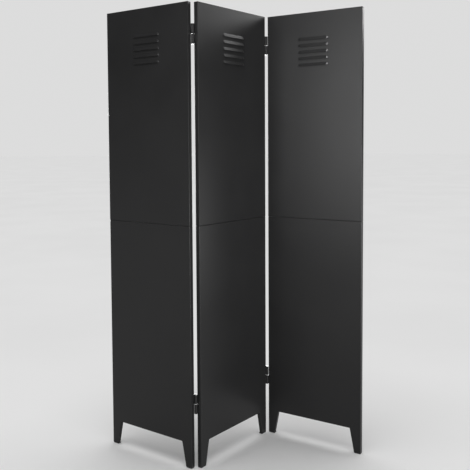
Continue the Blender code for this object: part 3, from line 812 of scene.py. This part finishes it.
class Finish:
    """A Principled material with procedural detail in the piece's own coordinates."""

    def __init__(self, name, metallic=0, specular=0.5):
        self.material = bpy.data.materials.new(name)
        self.material.use_nodes = True
        self.nodes = self.material.node_tree.nodes
        self.links = self.material.node_tree.links
        self.shader = self.nodes["Principled BSDF"]
        self.shader.inputs["Metallic"].default_value = metallic
        self.shader.inputs["Specular IOR Level"].default_value = specular
        self.place = self.nodes.new("ShaderNodeTexCoord").outputs["Object"]
        self.normal = None

    def noise(self, scale, detail=2, stretch=(1, 1, 1)):
        """Fractal noise with about so many features per metre, times the stretch on each axis."""
        mapping = self.nodes.new("ShaderNodeMapping")
        mapping.inputs["Scale"].default_value = stretch
        self.links.new(self.place, mapping.inputs["Vector"])
        texture = self.nodes.new("ShaderNodeTexNoise")
        texture.inputs["Scale"].default_value = scale
        texture.inputs["Detail"].default_value = detail
        self.links.new(mapping.outputs["Vector"], texture.inputs["Vector"])
        return texture.outputs["Fac"]

    def ramp(self, value, span, result=(0, 1)):
        """The value taken smoothly from one span to another, and held at both ends."""
        node = self.nodes.new("ShaderNodeMapRange")
        node.interpolation_type = "SMOOTHSTEP"
        for socket, number in zip(("From Min", "From Max", "To Min", "To Max"), (*span, *result)):
            node.inputs[socket].default_value = number
        self.links.new(value, node.inputs["Value"])
        return node.outputs["Result"]

    def math(self, operation, first, second):
        """A sum or product of two values."""
        node = self.nodes.new("ShaderNodeMath")
        node.operation = operation
        self.links.new(first, node.inputs[0])
        self.links.new(second, node.inputs[1])
        return node.outputs["Value"]

    def blend(self, share, first, second):
        """A colour between two, each a tuple or an output."""
        node = self.nodes.new("ShaderNodeMix")
        node.data_type = "RGBA"
        self.links.new(share, node.inputs["Factor"])
        for socket, color in ((node.inputs[6], first), (node.inputs[7], second)):
            if isinstance(color, tuple):
                socket.default_value = (*color, 1.0)
            else:
                self.links.new(color, socket)
        return node.outputs[2]

    def edges(self, radius):
        """1 on edges, falling to 0 at about a radius from them."""
        bevel = self.nodes.new("ShaderNodeBevel")
        bevel.samples = EDGE_SAMPLES
        bevel.inputs["Radius"].default_value = radius
        geometry = self.nodes.new("ShaderNodeNewGeometry")
        dot = self.nodes.new("ShaderNodeVectorMath")
        dot.operation = "DOT_PRODUCT"
        self.links.new(bevel.outputs["Normal"], dot.inputs[0])
        self.links.new(geometry.outputs["Normal"], dot.inputs[1])
        return self.ramp(dot.outputs["Value"], (FLAT, SHARP))

    def bump(self, height, distance):
        """Add relief of a given depth in metres."""
        node = self.nodes.new("ShaderNodeBump")
        node.inputs["Distance"].default_value = distance
        self.links.new(height, node.inputs["Height"])
        if self.normal:
            self.links.new(self.normal, node.inputs["Normal"])
        self.normal = node.outputs["Normal"]

    def finish(self, color, roughness):
        """Connect colour, roughness and relief."""
        self.links.new(color, self.shader.inputs["Base Color"])
        self.links.new(roughness, self.shader.inputs["Roughness"])
        if self.normal:
            self.links.new(self.normal, self.shader.inputs["Normal"])
        return self.material


def powder_coat():
    """Satin black powder coat: fine orange peel, slightly uneven gloss, and edges painted lighter
    in patches, partly as wear where the coat is thinner on the edges and partly as a painted
    highlight.
    """
    coat = Finish("powder_coat_black", specular=COAT_SPECULAR)
    peel = coat.noise(COAT_PEEL_SCALE, detail=3)
    patches = coat.noise(COAT_PATCH_SCALE, detail=3)
    specks = coat.noise(COAT_SPECK_SCALE, detail=1)
    color = coat.blend(coat.ramp(peel, CORE), COAT_DARK, COAT_LIGHT)
    color = coat.blend(coat.ramp(patches, MOST, COAT_PATCH_SHARE), color, COAT_LIGHT)
    # Edges painted lighter in patches: partly wear where the coat is thin, partly a painted
    # highlight
    worn_and_highlit = coat.ramp(coat.noise(COAT_EDGE_WEAR_AND_HIGHLIGHT_SCALE, detail=4), CORE, COAT_EDGE_WEAR_AND_HIGHLIGHT_SHARE)
    color = coat.blend(coat.math("MULTIPLY", coat.edges(COAT_EDGE_RADIUS), worn_and_highlit), color, COAT_WORN_AND_HIGHLIT_EDGE)
    gloss = coat.ramp(patches, MOST, (COAT_ROUGHNESS - COAT_ROUGHNESS_PATCHES,
                                      COAT_ROUGHNESS + COAT_ROUGHNESS_PATCHES))
    dust = coat.ramp(specks, MOST, (-COAT_ROUGHNESS_SPECKS, COAT_ROUGHNESS_SPECKS))
    coat.bump(peel, COAT_PEEL)
    coat.bump(specks, COAT_SPECK)
    return coat.finish(color, coat.math("ADD", gloss, dust))


def zinc():
    """Bright zinc plating with a faint blue and yellow bloom."""
    plating = Finish("zinc_plating", metallic=1)
    bloom = plating.noise(ZINC_BLOOM_SCALE, detail=3)
    grain = plating.noise(PLATING_GRAIN_SCALE)
    color = plating.blend(plating.ramp(bloom, CORE), ZINC_BLUE, ZINC_YELLOW)
    color = plating.blend(plating.ramp(grain, ZINC_GRAIN_SPAN, ZINC_GRAIN_SHARE), color, ZINC_GRAIN)
    plating.bump(grain, PLATING_GRAIN)
    return plating.finish(color, plating.ramp(bloom, MOST, ZINC_ROUGHNESS))


def black_zinc():
    """Black zinc plating, with a dull grain and brighter edges."""
    plating = Finish("black_zinc_plating", metallic=1)
    bloom = plating.noise(BLACK_ZINC_BLOOM_SCALE, detail=3)
    grain = plating.noise(PLATING_GRAIN_SCALE)
    color = plating.blend(plating.ramp(bloom, CORE), BLACK_ZINC_DARK, BLACK_ZINC_LIGHT)
    color = plating.blend(plating.edges(BLACK_ZINC_EDGE_RADIUS), color, BLACK_ZINC_EDGE)
    plating.bump(grain, PLATING_GRAIN)
    return plating.finish(color, plating.ramp(grain, MOST, BLACK_ZINC_ROUGHNESS))


def polished_steel():
    """Turned and polished steel, with fine rings round its axis."""
    steel = Finish("polished_steel_turned", metallic=1)
    rings = steel.noise(1, stretch=STEEL_RING_STRETCH)
    smudges = steel.noise(STEEL_SMUDGE_SCALE)
    color = steel.blend(steel.ramp(smudges, MOST), STEEL_DARK, STEEL_LIGHT)
    smeared = steel.ramp(smudges, STEEL_SMUDGE_SPAN, (0, STEEL_SMUDGE_ROUGHNESS))
    gloss = steel.math("ADD", steel.ramp(rings, MOST, STEEL_ROUGHNESS), smeared)
    steel.bump(rings, STEEL_RINGS)
    return steel.finish(color, gloss)


def black_plastic():
    """Matt moulded polyethylene, scuffed grey where it meets the floor."""
    plastic = Finish("black_plastic_moulded", specular=PLASTIC_SPECULAR)
    grain = plastic.noise(PLASTIC_GRAIN_SCALE)
    height = plastic.nodes.new("ShaderNodeSeparateXYZ")
    plastic.links.new(plastic.place, height.inputs["Vector"])
    low_down = plastic.ramp(height.outputs["Z"], PLASTIC_SCUFF_HEIGHTS)
    scuffs = plastic.ramp(plastic.noise(PLASTIC_SCUFF_SCALE, detail=3), PLASTIC_SCUFF_SPAN)
    color = plastic.blend(plastic.ramp(grain, MOST), PLASTIC_DARK, PLASTIC_LIGHT)
    color = plastic.blend(plastic.math("MULTIPLY", low_down, scuffs), color, PLASTIC_SCUFF)
    plastic.bump(grain, PLASTIC_GRAIN)
    return plastic.finish(color, plastic.ramp(grain, MOST, PLASTIC_ROUGHNESS))


def studio_floor():
    """A pale, matt, very slightly uneven floor."""
    floor = Finish("pale_floor", specular=FLOOR_SPECULAR)
    clouds = floor.noise(FLOOR_CLOUD_SCALE, detail=3)
    color = floor.blend(floor.ramp(clouds, MOST), FLOOR_DARK, FLOOR_LIGHT)
    floor.bump(floor.noise(FLOOR_GRAIN_SCALE), FLOOR_GRAIN)
    return floor.finish(color, floor.ramp(clouds, MOST, FLOOR_ROUGHNESS))


FINISHES = {"powder_coat": powder_coat(), "zinc": zinc(), "black_zinc": black_zinc(),
            "polished_steel": polished_steel(), "black_plastic": black_plastic()}


# ---------------------------------------------------------------- the studio

def add_floor():
    """A floor that runs past the horizon."""
    mesh = bpy.data.meshes.new("studio_floor")
    mesh.from_pydata([(x * FLOOR_REACH, y * FLOOR_REACH, 0)
                      for x, y in ((-1, -1), (1, -1), (1, 1), (-1, 1))], [], [(0, 1, 2, 3)])
    mesh.materials.append(studio_floor())
    floor = bpy.data.objects.new("studio_floor", mesh)
    bpy.context.scene.collection.objects.link(floor)
    return floor


def add_softbox(name, azimuth, elevation, power, receivers):
    """A square softbox that faces the middle of the screen and lights only its receivers. Azimuth
    is anticlockwise from +X."""
    azimuth, elevation = radians(azimuth), radians(elevation)
    target = Vector((0, 0, LIGHT_TARGET_Z))
    heading = Vector((cos(azimuth) * cos(elevation), sin(azimuth) * cos(elevation),
                      sin(elevation)))
    light = bpy.data.lights.new(name, "AREA")
    light.shape = "SQUARE"
    light.size = LIGHT_SIZE
    light.energy = power
    box = bpy.data.objects.new(name, light)
    bpy.context.scene.collection.objects.link(box)
    box.light_linking.receiver_collection = receivers
    box.visible_camera = False
    box.matrix_world = (Matrix.Translation(target + heading * LIGHT_DISTANCE)
                        @ (-heading).to_track_quat("-Z", "Y").to_matrix().to_4x4())


def all_but(floor):
    """The softboxes' receivers: everything except the floor, so that the floor stays even."""
    collection = bpy.data.collections.new("lit_by_softboxes")
    collection.objects.link(floor)
    collection.collection_objects[0].light_linking.link_state = "EXCLUDE"
    return collection


def add_overhead_light():
    """A broad overhead light, which is all that brightens the floor."""
    light = bpy.data.lights.new("overhead", "SUN")
    light.energy = OVERHEAD_POWER
    light.angle = OVERHEAD_ANGLE
    overhead = bpy.data.objects.new("overhead", light)
    bpy.context.scene.collection.objects.link(overhead)


def add_backdrop():
    """A white surround that only the camera sees, and that doesn't light the screen."""
    world = bpy.data.worlds.new("studio")
    bpy.context.scene.world = world
    world.use_nodes = True
    nodes, links = world.node_tree.nodes, world.node_tree.links
    seen = nodes["Background"]
    seen.inputs["Color"].default_value = (1, 1, 1, 1)
    seen.inputs["Strength"].default_value = BACKDROP
    unseen = nodes.new("ShaderNodeBackground")
    unseen.inputs["Strength"].default_value = 0
    mixer = nodes.new("ShaderNodeMixShader")
    links.new(nodes.new("ShaderNodeLightPath").outputs["Is Camera Ray"], mixer.inputs["Fac"])
    links.new(unseen.outputs["Background"], mixer.inputs[1])
    links.new(seen.outputs["Background"], mixer.inputs[2])
    links.new(mixer.outputs["Shader"], nodes["World Output"].inputs["Surface"])


def add_camera():
    """The camera where the photographer stood, looking slightly down."""
    axis = joint_axis("left")
    data = bpy.data.cameras.new("camera")
    data.sensor_width = SENSOR
    data.lens = FOCAL_LENGTH
    data.shift_y = PICTURE_SHIFT
    data.clip_end = CLIP_END
    camera = bpy.data.objects.new("camera", data)
    bpy.context.scene.collection.objects.link(camera)
    on_floor = Vector((axis.x, axis.y, 0))
    camera.matrix_world = (Matrix.Translation(on_floor + CAMERA_FROM_HINGE)
                           @ Matrix.Rotation(pi / 2 - CAMERA_DOWN, 4, "X")
                           @ Matrix.Rotation(CAMERA_ROLL, 4, "Z"))
    bpy.context.scene.camera = camera


def add_panel(name):
    """Every piece that belongs to one panel."""
    panel = Panel(name)
    hinges = [Hinge(panel, hinge, half) for hinge, panels in HINGES.items()
              for half, owner in zip(("upper", "lower"), panels) if owner == name]
    holes = panel_holes(panel, hinges)
    upper, lower = name + "_upper_sheet", name + "_lower_sheet"
    add_sheet(panel, upper, draw_upper_sheet(panel, panel.box(upper)[0].z), holes)
    add_sheet(panel, lower, draw_lower_sheet(panel, panel.box(lower)[1].z), holes)
    nut_low, nut_high = panel.box(f"{name}_seam_nut_1")
    add_seam_fasteners(panel, bolt_mesh(), nut_mesh(nut_high.z - nut_low.z))
    for side in ("left", "right"):
        add_glide(panel, side)
    for hinge in hinges:
        screw_low, screw_high = panel.box(f"{hinge.name}_top_{hinge.half}_screw_1")
        add_hinge(panel, hinge, holes, screw_mesh(screw_high.x - screw_low.x))
    holes.free()


for panel_name in PANELS:
    add_panel(panel_name)
lit_by_softboxes = all_but(add_floor())
add_overhead_light()
for softbox in SOFTBOXES:
    add_softbox(*softbox, lit_by_softboxes)
add_backdrop()
add_camera()
bpy.context.scene.view_settings.view_transform = "Standard"
